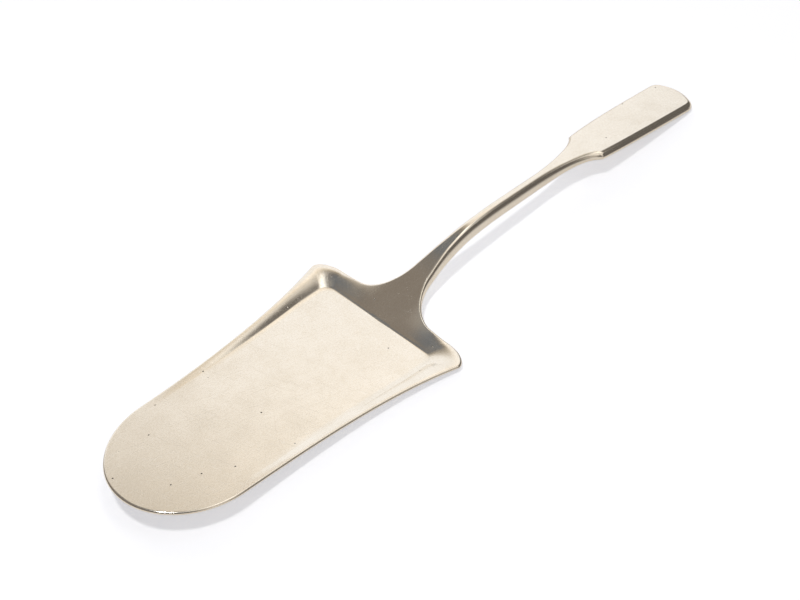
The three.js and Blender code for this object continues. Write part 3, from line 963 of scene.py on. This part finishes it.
@dataclass(frozen=True)
class WhiteTable:
    """A matt table that the camera sees as white, a little brighter than it is lit.

    The camera sees it in colour, with the lift added. Reflections see it in light, or in
    painted_dark_reflection, a painted shade, where they graze it towards dark_side, with
    painted_glow added: painted light that brightens the table for reflections though it is
    no lamp. The pair dark_from holds the cosines of the angle to that side at which the
    painted shade begins and is full.
    """

    colour: Colour = (0.98, 0.98, 0.98)
    lift: Colour = (0.385, 0.412, 0.47)
    # painted light: the table shines with this to every ray but the camera's, though it is no lamp
    painted_glow: Colour = (0.11, 0.105, 0.10)
    light: Colour = (0.98, 0.95, 0.91)
    # painted shade: the colour that reflections see where they graze the table towards dark_side
    painted_dark_reflection: Colour = (0.03, 0.02, 0.01)
    dark_side: tuple[float, float, float] = (-0.5, 0.866, 0.0)
    dark_from: Point = (0.80, 0.97)
    half_size: float = 1.2

    def build(self, height: float) -> bpy.types.Object:
        """Builds the table as stage.

        Args:
            height: Height of its top.

        Returns:
            The table's object.
        """
        half = self.half_size
        square = [(-half, -half), (half, -half), (half, half), (-half, half)]
        mesh = bpy.data.meshes.new("table")
        mesh.from_pydata([(x, y, height) for x, y in square], [], [(0, 1, 2, 3)])
        material = bpy.data.materials.new("white_table")
        material.use_nodes = True
        graph = Graph(material.node_tree)
        camera_ray = graph.signal("ShaderNodeLightPath", output="Is Camera Ray")
        # the camera sees the lift that whitens the table; every other ray sees painted_glow
        lift_and_painted_glow = graph.mix(camera_ray, self.painted_glow, self.lift)
        incoming = graph.signal("ShaderNodeNewGeometry", output="Incoming")
        sideways = graph.dot(incoming, self.dark_side)
        # painted reflection: the table turns to painted shade for rays that graze it towards
        # dark_side
        pale_and_painted_dark = graph.mix(sideways.eased(*self.dark_from), self.light, self.painted_dark_reflection)
        sockets = {
            "Base Color": graph.mix(camera_ray, pale_and_painted_dark, self.colour),
            "Roughness": 1.0,
            "Specular IOR Level": 0.0,
            "Emission Color": lift_and_painted_glow,
            "Emission Strength": 1.0,
        }
        shader = graph.signal("ShaderNodeBsdfPrincipled", {}, sockets)
        graph.node("ShaderNodeOutputMaterial", {}, {"Surface": shader})
        mesh.materials.append(material)
        table = bpy.data.objects.new("table", mesh)
        bpy.context.scene.collection.objects.link(table)
        table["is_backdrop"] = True
        LOG.info("table at %.4f m", height)
        return table


@dataclass(frozen=True)
class SoftBox:
    """A bright patch of the studio's walls, with soft borders.

    Angles are in degrees. The patch spans azimuths from right to left, counted from +X, and
    each of its four borders is a pair of angles between which it fades.
    """

    right: Point
    left: Point
    bottom: Point
    top: Point
    radiance: Colour

    def light(self, graph: Graph, level: Signal, upward: Signal) -> Signal:
        """Returns the patch's light for each direction of the sky.

        A side border is an easing of the sine of the angle, seen from above, from the
        middle of that border to the ray.

        Args:
            graph: The world's nodes.
            level: Direction of a ray, brought level and made a unit long.
            upward: Sine of the ray's elevation.

        Returns:
            The patch's radiance, as a colour.
        """
        shade: Signal | float = 1.0
        for outer, inner in (self.right, self.left[::-1]):
            middle = (outer + inner) / 2
            side = 1.0 if inner > outer else -1.0
            sine = graph.dot(level, direction(middle + 90 * side, 0))
            reach = math.sin(math.radians(abs(inner - outer) / 2))
            shade = sine.eased(-reach, reach) * shade
        low, high = np.sin(np.radians([self.bottom, self.top])).tolist()
        shade = shade * upward.eased(*low) * (1 - upward.eased(*high))
        return graph.mix(shade, (0, 0, 0), self.radiance)


@dataclass(frozen=True)
class Studio:
    """The light: soft bright walls, a dim room above and a compact lamp overhead.

    Each soft box is given by its right, left, bottom and top borders and its radiance.
    """

    room: Colour = (0.131, 0.119, 0.108)
    boxes: tuple[SoftBox, ...] = (
        SoftBox((13, 31), (78, 102), (-40, -30), (41, 57), (0.50, 0.36, 0.16)),
        SoftBox((13, 31), (78, 102), (-40, -30), (40, 50), (0.42, 0.55, 0.74)),
        SoftBox((-14, 16), (36, 54), (40, 46), (61, 68), (0.62, 0.57, 0.50)),
        SoftBox((-85, -65), (15, 35), (60, 67), (84, 89), (0.60, 0.56, 0.49)),
        SoftBox((-115, -92), (-76, -64), (-12, 2), (38, 46), (0.38, 0.35, 0.31)),
        SoftBox((-115, -95), (-44, -28), (33, 42), (66, 74), (0.74, 0.69, 0.62)),
        SoftBox((-52, -40), (-4, 6), (54, 60), (66, 74), (0.62, 0.59, 0.55)),
        SoftBox((40, 55), (105, 125), (64, 72), (84, 89), (0.15, 0.14, 0.12)),
        SoftBox((-6, 8), (34, 46), (56, 62), (72, 80), (0.95, 0.96, 0.96)),
        SoftBox((86, 100), (150, 175), (30, 42), (66, 76), (0.11, 0.09, 0.07)),
        SoftBox((50, 64), (82, 100), (45, 54), (66, 78), (0.02, 0.045, 0.075)),
    )
    lamp_direction: tuple[float, float, float] = (-0.28, -0.03, 1.0)
    lamp_distance: float = 1.1
    lamp_size: float = 0.13
    lamp_power: float = 3.0

    def _world(self) -> None:
        """Fills the sky: white for the camera, and the studio for everything else."""
        world = bpy.data.worlds.new("studio")
        world.use_nodes = True
        bpy.context.scene.world = world
        graph = Graph(world.node_tree)
        ray = graph.signal("ShaderNodeTexCoord", output="Generated")
        upward = graph.signal("ShaderNodeSeparateXYZ", {}, {0: ray}, "Z")
        sockets = {0: ray, 1: (1, 1, 0)}
        level = graph.signal("ShaderNodeVectorMath", {"operation": "MULTIPLY"}, sockets)
        level = graph.signal("ShaderNodeVectorMath", {"operation": "NORMALIZE"}, {0: level})
        sky: Signal | Colour = self.room
        for box in self.boxes:
            sky = graph.mix(1.0, sky, box.light(graph, level, upward), "ADD")
        camera_ray = graph.signal("ShaderNodeLightPath", output="Is Camera Ray")
        seen = graph.mix(camera_ray, sky, (1.0, 1.0, 1.0))
        background = graph.signal("ShaderNodeBackground", {}, {"Color": seen, "Strength": 1.0})
        graph.node("ShaderNodeOutputWorld", {}, {"Surface": background})

    def _lamp(self) -> None:
        """Hangs the lamp over the table and turns it to the server."""
        data = bpy.data.lights.new("overhead_lamp", "AREA")
        data.shape = "DISK"
        data.size = self.lamp_size
        data.energy = self.lamp_power
        lamp = bpy.data.objects.new("overhead_lamp", data)
        lamp.location = Vector(self.lamp_direction).normalized() * self.lamp_distance
        lamp.rotation_euler = lamp.location.to_track_quat("Z", "Y").to_euler()
        bpy.context.scene.collection.objects.link(lamp)

    def build(self) -> None:
        """Builds the sky and the lamp."""
        self._world()
        self._lamp()
        LOG.info("studio: %d soft boxes", len(self.boxes))


@dataclass(frozen=True)
class PhotoCamera:
    """The camera that took the photograph. Lengths in millimetres, angles in degrees.

    The azimuth is the camera's, seen from the point that it looks at: 0 is the -Y side.
    """

    target: tuple[float, float, float] = (-11.433, 2.242, 0.0)
    distance: float = 521.81
    azimuth: float = -43.689
    elevation: float = 45.811
    roll: float = -2.79
    focal_pixels: float = 1733.4
    image_width: float = 800.0
    sensor_width: float = 36.0
    clip_start: float = 10.0

    def build(self) -> bpy.types.Object:
        """Places the camera and makes it the scene's.

        Returns:
            The camera's object.
        """
        back = direction(self.azimuth - 90, self.elevation)
        right = Vector((0, 0, 1)).cross(back).normalized()
        up = back.cross(right)
        turn = math.radians(self.roll)
        x_axis = right * math.cos(turn) + up * math.sin(turn)
        y_axis = up * math.cos(turn) - right * math.sin(turn)
        data = bpy.data.cameras.new("photo_camera")
        data.sensor_width = self.sensor_width
        data.lens = self.focal_pixels / self.image_width * self.sensor_width
        data.clip_start = self.clip_start * MM
        camera = bpy.data.objects.new("photo_camera", data)
        place = (Vector(self.target) + back * self.distance) * MM
        rotation = Matrix((x_axis, y_axis, back)).transposed().to_4x4()
        camera.matrix_world = Matrix.Translation(place) @ rotation
        bpy.context.scene.collection.objects.link(camera)
        bpy.context.scene.camera = camera
        LOG.info("camera %.1f mm lens", data.lens)
        return camera


def corners(bounds: Sequence[Sequence[float]]) -> list[list[float]]:
    """Returns a box's two corners as plain lists."""
    return [[float(value) for value in corner] for corner in bounds]


def main() -> None:
    """Builds the server and its studio."""
    logging.basicConfig(level=logging.INFO, format="%(name)s: %(message)s")
    cad_bounds = corners(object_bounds())
    bpy.context.scene.view_settings.view_transform = "Standard"
    PhotoCamera().build()
    CakeServer(BladeSizes(), HandleSizes()).build(WornPolish())
    WhiteTable().build(cad_bounds[0][2])
    Studio().build()


if __name__ == "__main__":
    main()
